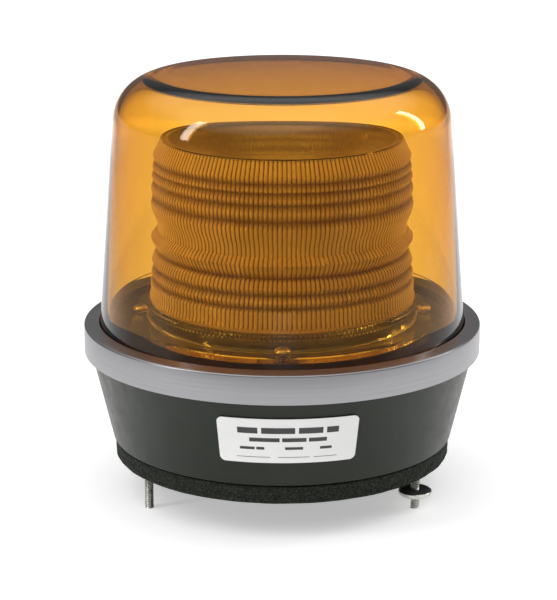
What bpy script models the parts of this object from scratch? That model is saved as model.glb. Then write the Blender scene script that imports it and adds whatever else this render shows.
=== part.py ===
"""Strobe beacon on a stud-mounted base: amber outer dome over a clear inner lens.

The frame's origin is the centre of the mounting pad's underside, +Z is up and -Y is the
front, where the name label is. Lengths below are in millimetres.
"""

import math

import bmesh
import bpy

MM = 0.001
GAP = 0.3  # between pieces that touch
BIG = 40  # sides of a large round piece
SMALL = 12  # sides of a fastener
CUT_TURN = 0.11  # radians

# Driving dimensions
RING_R = 105.0  # clamp ring, outside
RING_TOP = 72.0  # height of the clamp ring's top edge above the pad's underside
DOME_HEIGHT = 132.4  # from the clamp ring's top edge to the crown
PAD_R = 90.0
PAD_THICK = 9.5
STUD_CIRCLE_R = 80.5
STUD_R = 2.415  # number 10-24 thread
STUD_DROP = 20.0  # stud length below the pad
SEAL_LOW = -13.8  # underside of the sealing washer

# Base housing
BASE_FOOT_Z = PAD_THICK + GAP
BASE_FOOT_R = 90.4
BASE_SHOULDER_Z = RING_TOP - 15.0
BASE_SHOULDER_R = 101.5
BASE_LIP_R = 102.8
BASE_LIP_Z = RING_TOP - 6.0
BASE_WALL = 3.3
FLOOR_THICK = 3.5
FLOOR_Z = BASE_FOOT_Z + FLOOR_THICK
LEDGE_OUT_R = 91.0
LEDGE_IN_R = 86.5
LEDGE_Z = RING_TOP - 3.6

# Outer dome
DOME_WALL = 3.0
DOME_SIDE_R = 96.6  # at the clamp ring's top edge
DOME_TAPER = 0.08
DOME_FILLET = 23.8
DOME_CROWN_DROP = 2.5 / 80.0**2
DOME_CORNER_R = 71.0  # the ceiling is thicker than the wall, and meets it at a corner
DOME_FLANGE_Z = BASE_LIP_Z + 2.0
DOME_FLANGE_THICK = 2.2
DOME_FLANGE_R = 102.2
DOME_BAND_IN_R = 92.2
DOME_BAND_TOP = RING_TOP + 7.5

# Clamp ring and its screw
RING_FLOOR = RING_TOP - 15.1
RING_IN_R = 97.0
RING_WALL_IN_R = 103.2
RING_SPLIT = 5.0
LUG_NEAR_X = 3.2
LUG_FAR_X = 9.0
CLAMP_Y = 110.5
CLAMP_Z = RING_TOP - 7.5

# Mounting plate, socket and flash tube
PLATE_Z = LEDGE_Z + GAP
PLATE_TOP = RING_TOP - 1.3
PLATE_R = 91.4
PLATE_SCREW_R = 88.4
SOCKET_R = 22.5
SOCKET_FLOOR = 58.6
SOCKET_WELL_Z = 65.0
SOCKET_FLANGE_R = 29.0
SOCKET_SCREW_R = 26.0
TUBE_BASE_R = 18.2
TUBE_BASE_TOP = 86.0
ENVELOPE_R = 14.0
ENVELOPE_TOP = 150.0

# Inner lens
LENS_Z = PLATE_TOP + GAP
LENS_FLANGE_TOP = RING_TOP + 2.0
LENS_FLANGE_R = 84.0
LENS_SKIRT_R = 71.4
LENS_SKIRT_TOP = RING_TOP + 11.0
LENS_CROWN = RING_TOP + 98.5
LENS_WALL = 2.6
LENS_SCREW_R = 76.0
NOTCH_X = 74.0  # the flange is cut away beyond this at each side
NOTCH_HALF = 28.0

# Wire entry and circuit board
WIRE_HOLE_Y = 32.0
WIRE_HOLE_R = 11.0
BOARD_X = 130.0
BOARD_Y = 96.0
BOARD_THICK = 1.6
BOARD_Z = 24.0
STANDOFF_X = 58.0
STANDOFF_Y = 41.0

MATERIALS = {
    "amber": ((0.86, 0.36, 0.05), 0.06, 0.0),
    "clear": ((0.92, 0.93, 0.90), 0.05, 0.0),
    "aluminium": ((0.62, 0.62, 0.63), 0.35, 1.0),
    "steel": ((0.60, 0.60, 0.58), 0.30, 1.0),
    "black_plastic": ((0.03, 0.035, 0.03), 0.42, 0.0),
    "black_gloss": ((0.012, 0.012, 0.012), 0.10, 0.0),
    "foam": ((0.022, 0.028, 0.018), 0.95, 0.0),
    "rubber": ((0.02, 0.02, 0.02), 0.70, 0.0),
    "label": ((0.90, 0.90, 0.88), 0.45, 0.0),
    "board": ((0.05, 0.18, 0.08), 0.45, 0.0),
    "ferrite": ((0.05, 0.05, 0.055), 0.60, 0.0),
    "copper": ((0.70, 0.32, 0.14), 0.35, 1.0),
    "ceramic": ((0.80, 0.78, 0.72), 0.50, 0.0),
    "brass": ((0.70, 0.52, 0.20), 0.35, 1.0),
    "glass": ((0.90, 0.92, 0.92), 0.02, 0.0),
    "blue_sleeve": ((0.03, 0.06, 0.22), 0.40, 0.0),
    "lead_red": ((0.45, 0.03, 0.02), 0.50, 0.0),
    "lead_black": ((0.02, 0.02, 0.02), 0.50, 0.0),
    "lead_white": ((0.75, 0.75, 0.72), 0.50, 0.0),
}


def clear_scene():
    for obj in list(bpy.data.objects):
        bpy.data.objects.remove(obj, do_unlink=True)


def material(name):
    if name in bpy.data.materials:
        return bpy.data.materials[name]
    colour, roughness, metallic = MATERIALS[name]
    mat = bpy.data.materials.new(name)
    mat.use_nodes = True
    shader = mat.node_tree.nodes["Principled BSDF"]
    shader.inputs["Base Color"].default_value = (*colour, 1.0)
    shader.inputs["Roughness"].default_value = roughness
    shader.inputs["Metallic"].default_value = metallic
    mat.diffuse_color = (*colour, 1.0)
    return mat


def place(name, bm, slot, at=(0, 0, 0), turn=(0, 0, 0), smooth=True):
    """An object of bm's mesh, given in millimetres, at a place in millimetres."""
    bmesh.ops.recalc_face_normals(bm, faces=bm.faces)
    bmesh.ops.scale(bm, vec=(MM, MM, MM), verts=bm.verts)
    mesh = bpy.data.meshes.new(name)
    bm.to_mesh(mesh)
    bm.free()
    if smooth:
        mesh.shade_smooth()
        mesh.set_sharp_from_angle(angle=math.radians(35))
    obj = bpy.data.objects.new(name, mesh)
    bpy.context.scene.collection.objects.link(obj)
    obj.location = [v * MM for v in at]
    obj.rotation_euler = turn
    if slot:
        mesh.materials.append(material(slot))
    else:
        obj.hide_render = True
        obj.display_type = "WIRE"
    return obj


def turned(name, outline, slot, sides=BIG, at=(0, 0, 0), turn=(0, 0, 0), arc=None):
    """A solid turned about Z from (radius, height) points. An arc (start, end) leaves it split."""
    bm = bmesh.new()
    if arc:
        step = 2 * math.pi / sides
        first, last = arc
        inner = [k * step for k in range(math.ceil(first / step + 0.01), math.ceil(last / step - 0.01))]
        angles = [first, *inner, last]
    else:
        angles = [2 * math.pi * k / sides for k in range(sides)]
    rings = []
    for radius, height in outline:
        if radius < 1e-6:
            rings.append([bm.verts.new((0, 0, height))] * len(angles))
        else:
            rings.append([bm.verts.new((radius * math.cos(a), radius * math.sin(a), height)) for a in angles])
    spans = len(angles) if not arc else len(angles) - 1
    on_axis = outline[0][0] < 1e-6 and outline[-1][0] < 1e-6
    pairs = list(zip(rings, rings[1:])) + ([] if on_axis else [(rings[-1], rings[0])])
    for low, high in pairs:
        flat = low[0].co.z == high[0].co.z and not arc
        if flat and (low[0] is low[1] or high[0] is high[1]):
            bm.faces.new(low if high[0] is high[1] else high)
            continue
        for k in range(spans):
            nxt = (k + 1) % len(angles)
            corners = []
            for vert in (low[k], low[nxt], high[nxt], high[k]):
                if vert not in corners:
                    corners.append(vert)
            if len(corners) > 2:
                bm.faces.new(corners)
    if arc:
        bm.faces.new([ring[0] for ring in rings])
        bm.faces.new([ring[-1] for ring in rings])
    return place(name, bm, slot, at, turn)


def rod(name, radius, low, high, slot, sides=SMALL, at=(0, 0, 0), turn=(0, 0, 0)):
    outline = [(0, low), (radius, low), (radius, high), (0, high)]
    return turned(name, outline, slot, sides, at, turn)


def block(name, size, slot, at=(0, 0, 0), turn=(0, 0, 0)):
    """A box with its middle at a place."""
    bm = bmesh.new()
    bmesh.ops.create_cube(bm, size=1.0)
    bmesh.ops.scale(bm, vec=size, verts=bm.verts)
    return place(name, bm, slot, at, turn, smooth=False)


def extruded(name, outline, depth, slot, at=(0, 0, 0), turn=(0, 0, 0)):
    """A flat outline of (x, z) points, extruded along Y about its middle."""
    bm = bmesh.new()
    near = [bm.verts.new((x, -depth / 2, z)) for x, z in outline]
    far = [bm.verts.new((x, depth / 2, z)) for x, z in outline]
    bm.faces.new(near)
    bm.faces.new(list(reversed(far)))
    for k in range(len(outline)):
        nxt = (k + 1) % len(outline)
        bm.faces.new([near[k], far[k], far[nxt], near[nxt]])
    return place(name, bm, slot, at, turn, smooth=False)


def boolean(target, other, operation="DIFFERENCE"):
    modifier = target.modifiers.new(other.name, "BOOLEAN")
    modifier.object = other
    modifier.operation = operation
    modifier.solver = "EXACT"


def drill(target, name, radius, low, high, x, y, sides=SMALL):
    """A hole along Z through the target, turned so that no corner lies on the target's own edges."""
    boolean(target, rod("cut_" + name, radius, low, high, None, sides, at=(x, y, 0), turn=(0, 0, CUT_TURN)))


def on_circle(radius, degrees):
    angle = math.radians(degrees)
    return radius * math.cos(angle), radius * math.sin(angle)


def wire(name, points, radius, slot):
    """A round wire through the points, read from a smooth curve."""
    path = []
    for k in range(len(points) - 1):
        p0, p1 = points[max(k - 1, 0)], points[k]
        p2, p3 = points[k + 1], points[min(k + 2, len(points) - 1)]
        for step in range(4):
            t = step / 4
            path.append([
                0.5 * (2 * b + (c - a) * t + (2 * a - 5 * b + 4 * c - d) * t**2 + (3 * b - a - 3 * c + d) * t**3)
                for a, b, c, d in zip(p0, p1, p2, p3)
            ])
    path.append(points[-1])
    curve = bpy.data.curves.new(name, "CURVE")
    curve.dimensions = "3D"
    curve.bevel_depth = radius * MM
    curve.bevel_resolution = 2
    curve.use_fill_caps = True
    spline = curve.splines.new("POLY")
    spline.points.add(len(path) - 1)
    for point, place_mm in zip(spline.points, path):
        point.co = (*[v * MM for v in place_mm], 1.0)
    curve.materials.append(material(slot))
    obj = bpy.data.objects.new(name, curve)
    bpy.context.scene.collection.objects.link(obj)
    return obj


def screw(name, head_r, head_h, shank_r, shank_len, slot, at, turn=(0, 0, 0), countersunk=False):
    """A screw pointing down, with the underside of its head at a place."""
    if countersunk:
        outline = [(0, -shank_len), (shank_r, -shank_len), (shank_r, -head_h), (head_r, 0), (0, 0)]
    else:
        outline = [(0, -shank_len), (shank_r, -shank_len), (shank_r, 0), (head_r, 0),
                   (head_r, head_h * 0.55), (head_r * 0.72, head_h), (0, head_h)]
    return turned(name, outline, slot, SMALL, at, turn)


# Base housing, its pad, studs and label
STUDS = {"left": 210, "right": 330, "rear": 90}


def cone_radius(height):
    share = (height - BASE_FOOT_Z) / (BASE_SHOULDER_Z - BASE_FOOT_Z)
    return BASE_FOOT_R + (BASE_SHOULDER_R - BASE_FOOT_R) * share


def base_housing():
    neck_z = BASE_SHOULDER_Z - 1
    outline = [
        (0, BASE_FOOT_Z),
        (BASE_FOOT_R - 0.8, BASE_FOOT_Z),
        (BASE_FOOT_R + 0.2, BASE_FOOT_Z + 0.9),
        (BASE_SHOULDER_R, BASE_SHOULDER_Z),
        (BASE_LIP_R, BASE_SHOULDER_Z + 1.6),
        (BASE_LIP_R, BASE_LIP_Z),
        (LEDGE_OUT_R, BASE_LIP_Z),
        (LEDGE_OUT_R, LEDGE_Z),
        (LEDGE_IN_R, LEDGE_Z),
        (LEDGE_IN_R, BASE_LIP_Z - 4),
        (cone_radius(neck_z) - BASE_WALL, neck_z),
        (cone_radius(FLOOR_Z) - BASE_WALL, FLOOR_Z),
        (0, FLOOR_Z),
    ]
    base = turned("base_housing", outline, "black_plastic")
    for key, degrees in STUDS.items():
        x, y = on_circle(STUD_CIRCLE_R, degrees)
        drill(base, "base_stud_" + key, STUD_R + 0.3, BASE_FOOT_Z - 2, FLOOR_Z + 2, x, y)
    drill(base, "base_wire", WIRE_HOLE_R, BASE_FOOT_Z - 2, FLOOR_Z + 2, 0, WIRE_HOLE_Y, 24)
    for k in range(4):
        x, y = on_circle(PLATE_SCREW_R, 45 + 90 * k)
        drill(base, f"base_plate_screw_{k + 1}", 1.6, LEDGE_Z - 5, LEDGE_Z + 2, x, y)
    return base


def mounting_pad():
    outline = [(0, 0), (PAD_R - 0.5, 0), (PAD_R, 0.6), (PAD_R, PAD_THICK - 0.4), (PAD_R - 0.4, PAD_THICK), (0, PAD_THICK)]
    pad = turned("mounting_pad", outline, "foam")
    for key, degrees in STUDS.items():
        x, y = on_circle(STUD_CIRCLE_R, degrees)
        drill(pad, "pad_stud_" + key, STUD_R + 0.8, -2, PAD_THICK + 2, x, y)
    drill(pad, "pad_wire", WIRE_HOLE_R + 1, -2, PAD_THICK + 2, 0, WIRE_HOLE_Y, 24)
    return pad


def mounting_studs():
    head_z = FLOOR_Z + GAP
    for key, degrees in STUDS.items():
        x, y = on_circle(STUD_CIRCLE_R, degrees)
        outline = [(0, -STUD_DROP), (STUD_R - 0.8, -STUD_DROP), (STUD_R, -STUD_DROP + 0.8),
                   (STUD_R, head_z), (5.4, head_z), (5.4, head_z + 3.2), (0, head_z + 3.2)]
        turned("mounting_stud_" + key, outline, "steel", SMALL, at=(x, y, 0))


def seal_washer():
    """A bonded sealing washer that hangs on the right-hand stud."""
    low = SEAL_LOW
    middle = (*on_circle(STUD_CIRCLE_R, STUDS["right"]), 0)
    cup = [(2.75, low), (6.0, low), (8.8, low + 1.8), (8.8, low + 3.6), (8.1, low + 3.6), (8.1, low + 2.2),
           (5.8, low + 0.8), (2.75, low + 0.8)]
    face = [(2.6, low + 1.1), (5.6, low + 1.1), (7.8, low + 2.5), (7.8, low + 4.0), (7.2, low + 4.4),
            (2.6, low + 4.4)]
    turned("seal_washer_cup", cup, "steel", 24, at=middle)
    turned("seal_washer_rubber", face, "rubber", 24, at=middle)


LABEL_ARC = 70.2
LABEL_LOW = 23.5
LABEL_HIGH = 48.3
LABEL_OFF = 0.2
LABEL_THICK = 0.4
LABEL_TURN = 1.7  # degrees to the right of the front


def name_label():
    """A thin plate that follows the front of the base."""
    bm = bmesh.new()
    columns = 12
    half = LABEL_ARC / 2 / cone_radius((LABEL_LOW + LABEL_HIGH) / 2)
    middle = math.radians(-90 + LABEL_TURN)
    grid = {}
    for col in range(columns + 1):
        angle = middle + half * (2 * col / columns - 1)
        for layer, height in ((0, LABEL_LOW), (0, LABEL_HIGH), (1, LABEL_LOW), (1, LABEL_HIGH)):
            radius = cone_radius(height) + LABEL_OFF + layer * LABEL_THICK
            grid[col, layer, height] = bm.verts.new((radius * math.cos(angle), radius * math.sin(angle), height))
    for col in range(columns):
        nxt = col + 1
        for layer in (0, 1):
            bm.faces.new([grid[col, layer, LABEL_LOW], grid[nxt, layer, LABEL_LOW],
                          grid[nxt, layer, LABEL_HIGH], grid[col, layer, LABEL_HIGH]])
        for height in (LABEL_LOW, LABEL_HIGH):
            bm.faces.new([grid[col, 0, height], grid[nxt, 0, height], grid[nxt, 1, height], grid[col, 1, height]])
    for col in (0, columns):
        bm.faces.new([grid[col, 0, LABEL_LOW], grid[col, 1, LABEL_LOW],
                      grid[col, 1, LABEL_HIGH], grid[col, 0, LABEL_HIGH]])
    return place("name_label", bm, "label")


def cable_grommet():
    """A rubber bush in the floor's wire hole, with a lip each side of the floor."""
    low, high = BASE_FOOT_Z, FLOOR_Z
    outline = [(6.5, 5.0), (WIRE_HOLE_R + 0.6, 5.0), (WIRE_HOLE_R + 0.6, low - GAP), (WIRE_HOLE_R - GAP, low - GAP),
               (WIRE_HOLE_R - GAP, high + GAP), (WIRE_HOLE_R + 3, high + GAP), (WIRE_HOLE_R + 3, high + 2.3),
               (6.5, high + 2.3)]
    turned("cable_grommet", outline, "rubber", 24, at=(0, WIRE_HOLE_Y, 0))


# Electronics on the circuit board
def circuit_board():
    middle = BOARD_Z + BOARD_THICK / 2
    board = block("circuit_board", (BOARD_X, BOARD_Y, BOARD_THICK), "board", at=(0, 0, middle))
    corners = [(sx * STANDOFF_X, sy * STANDOFF_Y) for sx in (-1, 1) for sy in (-1, 1)]
    for k, (x, y) in enumerate(corners, 1):
        drill(board, f"board_{k}", 1.9, BOARD_Z - 1, BOARD_Z + BOARD_THICK + 1, x, y)
        outline = [(0, FLOOR_Z + GAP), (3.6, FLOOR_Z + GAP), (3.6, BOARD_Z - GAP), (1.8, BOARD_Z - GAP),
                   (1.8, BOARD_Z - 6), (0, BOARD_Z - 6)]
        turned(f"board_standoff_{k}", outline, "brass", 6, at=(x, y, 0))
        screw(f"board_screw_{k}", 3.0, 2.0, 1.45, 6.5, "steel", at=(x, y, BOARD_Z + BOARD_THICK + GAP))
    return board


def transformer(x, y, floor):
    """An E-core with its winding round the middle leg."""
    core = block("transformer_core", (38, 15, 31), "ferrite", at=(x, y, floor + 15.5))
    for side in (-1, 1):
        boolean(core, block(f"cut_core_{side}", (7, 20, 18), None, at=(x + side * 9.5, y, floor + 15.5)))
    coil = block("transformer_winding", (25, 27, 17.2), "copper", at=(x, y, floor + 15.5))
    boolean(coil, block("cut_coil", (12.6, 15.6, 30), None, at=(x, y, floor + 15.5)))


def electronics():
    floor = BOARD_Z + BOARD_THICK + GAP
    transformer(-42, 14, floor)
    for k, x in ((1, 18), (2, 46)):
        outline = [(0, 0), (12, 0), (12.5, 0.6), (12.5, 2.5), (12.0, 3.2), (12.5, 3.9), (12.5, 31.4), (11.9, 32), (0, 32)]
        turned(f"storage_capacitor_{k}", outline, "blue_sleeve", 16, at=(x, 22, floor))
    fins = [(-17, 0), (17, 0)]
    for k in range(5):
        right = 17 - 7.9 * k
        fins += [(right, 24), (right - 2.4, 24)]
        if k < 4:
            fins += [(right - 2.4, 4), (right - 7.9, 4)]
    extruded("heat_sink", fins, 22, "aluminium", at=(-42, -26, floor))
    block("power_transistor", (15.5, 4.6, 20), "black_gloss", at=(-42, -26 - 11 - 0.3 - 2.3, floor + 11))
    rod("trigger_coil", 7.0, 0, 20, "lead_red", 16, at=(-8, -28, floor))
    rod("power_resistor", 4.2, -12, 12, "ceramic", 12, at=(22, -33, floor + 4.5), turn=(0, math.pi / 2, 0))
    terminal = block("terminal_block", (24, 10, 12), "black_plastic", at=(46, -20, floor + 6))
    for k in range(3):
        boolean(terminal, rod(f"cut_terminal_{k}", 2.2, floor + 4, floor + 20, None, 8, at=(38.5 + 7.5 * k, -20, 0)))


# Mounting plate, socket and flash tube
def mounting_plate():
    hole_r = SOCKET_R + 0.6
    outline = [(hole_r, PLATE_Z), (PLATE_R, PLATE_Z), (PLATE_R, PLATE_TOP - 0.4), (PLATE_R - 0.4, PLATE_TOP),
               (hole_r, PLATE_TOP)]
    plate = turned("mounting_plate", outline, "black_gloss")
    for k in range(4):
        x, y = on_circle(LENS_SCREW_R, 90 * k)
        drill(plate, f"plate_lens_{k}", 2.0, PLATE_Z - 2, PLATE_TOP + 2, x, y)
        x, y = on_circle(PLATE_SCREW_R, 45 + 90 * k)
        sink = [(0, PLATE_Z - 2), (1.5, PLATE_Z - 2), (1.5, PLATE_TOP - 1.2), (2.4, PLATE_TOP + 0.6),
                (0, PLATE_TOP + 0.6)]
        boolean(plate, turned(f"cut_sink_{k}", sink, None, SMALL, at=(x, y, 0), turn=(0, 0, CUT_TURN)))
        screw(f"plate_screw_{k + 1}", 1.7, 1.0, 1.2, 6.0, "black_plastic",
              at=(x, y, PLATE_TOP - 0.1), countersunk=True)
    for k, degrees in ((1, 0), (2, 180)):
        x, y = on_circle(SOCKET_SCREW_R, degrees)
        drill(plate, f"plate_socket_{k}", 1.7, PLATE_Z - 2, PLATE_TOP + 2, x, y)
    return plate


def tube_socket():
    flange_z = PLATE_TOP + GAP
    outline = [(0, SOCKET_FLOOR), (SOCKET_R, SOCKET_FLOOR), (SOCKET_R, flange_z), (SOCKET_FLANGE_R, flange_z),
               (SOCKET_FLANGE_R, flange_z + 2.7), (TUBE_BASE_R + 0.4, flange_z + 2.7),
               (TUBE_BASE_R + 0.4, SOCKET_WELL_Z), (0, SOCKET_WELL_Z)]
    socket = turned("tube_socket", outline, "ceramic", 32)
    for k, degrees in ((1, 0), (2, 180)):
        x, y = on_circle(SOCKET_SCREW_R, degrees)
        drill(socket, f"socket_{k}", 1.7, flange_z - 1, flange_z + 5, x, y)
        screw(f"socket_screw_{k}", 2.8, 2.0, 1.4, 7.5, "steel", at=(x, y, flange_z + 2.7 + GAP))
    for k in range(4):
        x, y = on_circle(9.5, 45 + 90 * k)
        drill(socket, f"socket_pin_{k}", 1.7, SOCKET_FLOOR + 1.5, SOCKET_WELL_Z + 2, x, y)
        rod(f"flash_tube_pin_{k + 1}", 1.2, SOCKET_FLOOR + 2.5, SOCKET_WELL_Z, "brass", at=(x, y, 0))
    return socket


def flash_tube():
    low = SOCKET_WELL_Z + GAP
    outline = [(0, low), (TUBE_BASE_R, low), (TUBE_BASE_R, TUBE_BASE_TOP - 2), (TUBE_BASE_R - 2, TUBE_BASE_TOP),
               (0, TUBE_BASE_TOP)]
    turned("flash_tube_base", outline, "black_plastic", 24)
    bottom = TUBE_BASE_TOP + GAP
    shoulder = ENVELOPE_TOP - ENVELOPE_R
    angles = [math.radians(30 * k) for k in range(1, 3)]
    outside = [(ENVELOPE_R * math.cos(a), shoulder + ENVELOPE_R * math.sin(a)) for a in angles]
    inner_r = ENVELOPE_R - 1.2
    inside = [(inner_r * math.cos(a), shoulder + inner_r * math.sin(a)) for a in reversed(angles)]
    glass = [(0, ENVELOPE_TOP - 1.2), *inside, (inner_r, shoulder), (inner_r, bottom), (ENVELOPE_R, bottom),
             (ENVELOPE_R, shoulder), *outside, (0, ENVELOPE_TOP)]
    turned("flash_tube_envelope", glass, "glass", 24)
    turns, rise, low_coil, coil_r = 3, 8.0, 104.0, 8.0
    points = [(coil_r, 0, bottom + GAP), (coil_r, 0, bottom + 9)]
    count = 10
    for k in range(turns * count + 1):
        angle = 2 * math.pi * k / count
        points.append((coil_r * math.cos(angle), coil_r * math.sin(angle), low_coil + rise * k / count))
    points += [(3.5, 0, low_coil + rise * turns + 3), (0, 0, low_coil + rise * turns - 2), (0, 0, bottom + GAP)]
    path = bpy.data.curves.new("xenon_coil", "CURVE")
    path.dimensions = "3D"
    path.bevel_depth = 2.0 * MM
    path.bevel_resolution = 2
    path.use_fill_caps = True
    spline = path.splines.new("POLY")
    spline.points.add(len(points) - 1)
    for point, place_mm in zip(spline.points, points):
        point.co = (*[v * MM for v in place_mm], 1.0)
    path.materials.append(material("glass"))
    coil = bpy.data.objects.new("xenon_coil", path)
    bpy.context.scene.collection.objects.link(coil)


def socket_leads():
    """Three leads from the circuit board up to the socket's underside."""
    board_top = BOARD_Z + BOARD_THICK + GAP
    for k, slot in enumerate(("lead_red", "lead_black", "lead_white"), 1):
        x = -6.0 + 6.0 * k
        wire(f"socket_lead_{k}", [(x - 4, -14 - k, board_top), (x - 4, -14 - k, board_top + 6),
                                  (x - 2, -8 - k, board_top + 17), (x - 5, -1 - k, SOCKET_FLOOR - 8),
                                  (x - 6, -1 - k, SOCKET_FLOOR - GAP)], 1.1, slot)


# Inner lens
def inner_lens():
    def at(height):
        return RING_TOP + height

    skin = [(LENS_SKIRT_R, LENS_SKIRT_TOP), (69.5, at(13.5)), (69.5, at(26.0)), (67.5, at(34.0)), (68.8, at(45.5)),
            (65.6, at(51.0)), (69.0, at(62.5)), (67.8, at(80.0)), (67.0, at(89.5)), (62.7, LENS_CROWN - 0.7)]
    inside = [(LENS_SKIRT_R - LENS_WALL - 2.5, LENS_Z), (66.5, at(30.0)), (63.0, at(51.0)), (65.5, at(65.0)),
              (64.0, at(88.0)), (60.0, LENS_CROWN - LENS_WALL - 0.6)]
    outline = [(0, LENS_CROWN - LENS_WALL), *reversed(inside), (LENS_FLANGE_R, LENS_Z),
               (LENS_FLANGE_R, LENS_FLANGE_TOP), (LENS_SKIRT_R, LENS_FLANGE_TOP), *skin, (0, LENS_CROWN)]
    lens = turned("inner_lens", outline, "clear")
    for side in (-1, 1):
        size = (20, 2 * NOTCH_HALF, 8)
        place_mm = (side * (NOTCH_X + 10), 0, LENS_FLANGE_TOP - 1)
        boolean(lens, block(f"cut_notch_{side}", size, None, at=place_mm))
    for k in range(4):
        x, y = on_circle(LENS_SCREW_R, 90 * k)
        if k % 2:
            drill(lens, f"lens_{k}", 2.0, LENS_Z - 2, LENS_FLANGE_TOP + 2, x, y)
        screw(f"lens_screw_{k + 1}", 4.2, 3.0, 1.7, 9.0, "steel", at=(x, y, LENS_FLANGE_TOP + GAP))
    return lens


# Outer dome, gasket and clamp ring
def dome_gasket():
    low, high = BASE_LIP_Z + GAP, DOME_FLANGE_Z - GAP
    outline = [(LEDGE_OUT_R + 0.6, low), (DOME_FLANGE_R, low), (DOME_FLANGE_R, high), (LEDGE_OUT_R + 0.6, high)]
    turned("dome_gasket", outline, "rubber")


def dome_skin(inset, steps, corner_r=None):
    """(radius, height) points from the side's top to the crown. With corner_r the fillet stops there."""
    lean = math.atan(DOME_TAPER)
    tip = DOME_HEIGHT - inset
    fillet = DOME_FILLET - inset
    side = DOME_SIDE_R - inset / math.cos(lean)
    # The fillet's middle is one fillet radius in from the side and from the crown.
    rim = 65.0
    for _ in range(20):
        slope = math.atan(2 * DOME_CROWN_DROP * rim)
        mid_z = tip - DOME_CROWN_DROP * rim**2 - fillet * math.cos(slope)
        touch_z = mid_z + fillet * math.sin(lean)
        mid_r = side - DOME_TAPER * touch_z - fillet * math.cos(lean)
        rim = mid_r + fillet * math.sin(slope)
    last = math.acos((corner_r - mid_r) / fillet) if corner_r else math.pi / 2 - slope
    points = []
    for k in range(steps + 1):
        angle = lean + (last - lean) * k / steps
        points.append((mid_r + fillet * math.cos(angle), RING_TOP + mid_z + fillet * math.sin(angle)))
    edge_r, edge_z = points[-1]
    crown = edge_z + DOME_CROWN_DROP * edge_r**2
    points.append((edge_r / 2, crown - DOME_CROWN_DROP * (edge_r / 2) ** 2))
    points.append((0, crown))
    return points


def outer_dome():
    flange_top = DOME_FLANGE_Z + DOME_FLANGE_THICK
    band_r = DOME_SIDE_R - DOME_TAPER * (DOME_BAND_TOP - RING_TOP) - DOME_WALL
    outside = [(DOME_BAND_IN_R, DOME_FLANGE_Z), (DOME_FLANGE_R, DOME_FLANGE_Z), (DOME_FLANGE_R, flange_top),
               (DOME_SIDE_R, flange_top), (DOME_SIDE_R, RING_TOP), *dome_skin(0, 5)]
    inside = [*reversed(dome_skin(DOME_WALL, 4, DOME_CORNER_R)), (band_r, DOME_BAND_TOP), (DOME_BAND_IN_R, DOME_BAND_TOP - 1)]
    bm_outline = outside + inside
    return dome_from(bm_outline, len(outside))


def dome_from(points, outside_count):
    """Turn the dome's outline, which meets the axis twice in its middle."""
    crown_out, crown_in = points[outside_count - 1], points[outside_count]
    loop = [crown_in, *points[outside_count + 1:], *points[: outside_count - 1], crown_out]
    return turned("outer_dome", loop, "amber")


def clamp_ring():
    outline = [(RING_IN_R, RING_TOP - 1.5), (RING_WALL_IN_R, RING_TOP - 1.5), (RING_WALL_IN_R, RING_FLOOR),
               (RING_R - 0.3, RING_FLOOR), (RING_R, RING_FLOOR + 0.3), (RING_R, RING_TOP - 1.0),
               (RING_R - 0.4, RING_TOP - 0.3), (RING_R - 1.1, RING_TOP), (RING_IN_R, RING_TOP + 0.7)]
    half = math.asin(RING_SPLIT / 2 / RING_R)
    ring = turned("clamp_ring", outline, "aluminium", arc=(math.pi / 2 + half, 5 * math.pi / 2 - half))
    lug_x = (LUG_NEAR_X + LUG_FAR_X) / 2
    for side in (-1, 1):
        size = (LUG_FAR_X - LUG_NEAR_X, 12.6, 12.6)
        lug = block(f"join_lug_{side}", size, None, at=(side * lug_x, 104 + 6.3, CLAMP_Z))
        boolean(ring, lug, "UNION")
    hole = rod("cut_lug", 2.7, -20, 20, None, at=(0, CLAMP_Y, CLAMP_Z), turn=(0, math.pi / 2, 0))
    boolean(ring, hole)
    return ring


def clamp_screw():
    """Screw, washer and nut that draw the ring's lugs together. Their axis is along X."""
    along_x = (0, math.pi / 2, 0)
    nut_x = LUG_FAR_X + GAP
    middle = (0, CLAMP_Y, CLAMP_Z)
    nut = rod("clamp_nut", 5.4, -nut_x - 3.2, -nut_x, "steel", 6, at=middle, turn=along_x)
    boolean(nut, rod("cut_nut", 2.7, -20, 0, None, at=middle, turn=along_x))
    turned("clamp_screw_washer", [(2.7, nut_x), (5.6, nut_x), (5.6, nut_x + 0.8), (2.7, nut_x + 0.8)], "steel", 16,
           at=middle, turn=along_x)
    head_x = nut_x + 0.8 + GAP
    screw("clamp_screw", 4.6, 3.2, STUD_R, head_x + 18, "steel", at=(head_x, CLAMP_Y, CLAMP_Z), turn=along_x)


def build():
    clear_scene()
    base_housing()
    mounting_pad()
    mounting_studs()
    seal_washer()
    name_label()
    cable_grommet()
    circuit_board()
    electronics()
    mounting_plate()
    tube_socket()
    flash_tube()
    socket_leads()
    inner_lens()
    dome_gasket()
    outer_dome()
    clamp_ring()
    clamp_screw()


build()
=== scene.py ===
import math

import bmesh
import bpy
from mathutils import Matrix, Vector, noise


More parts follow.
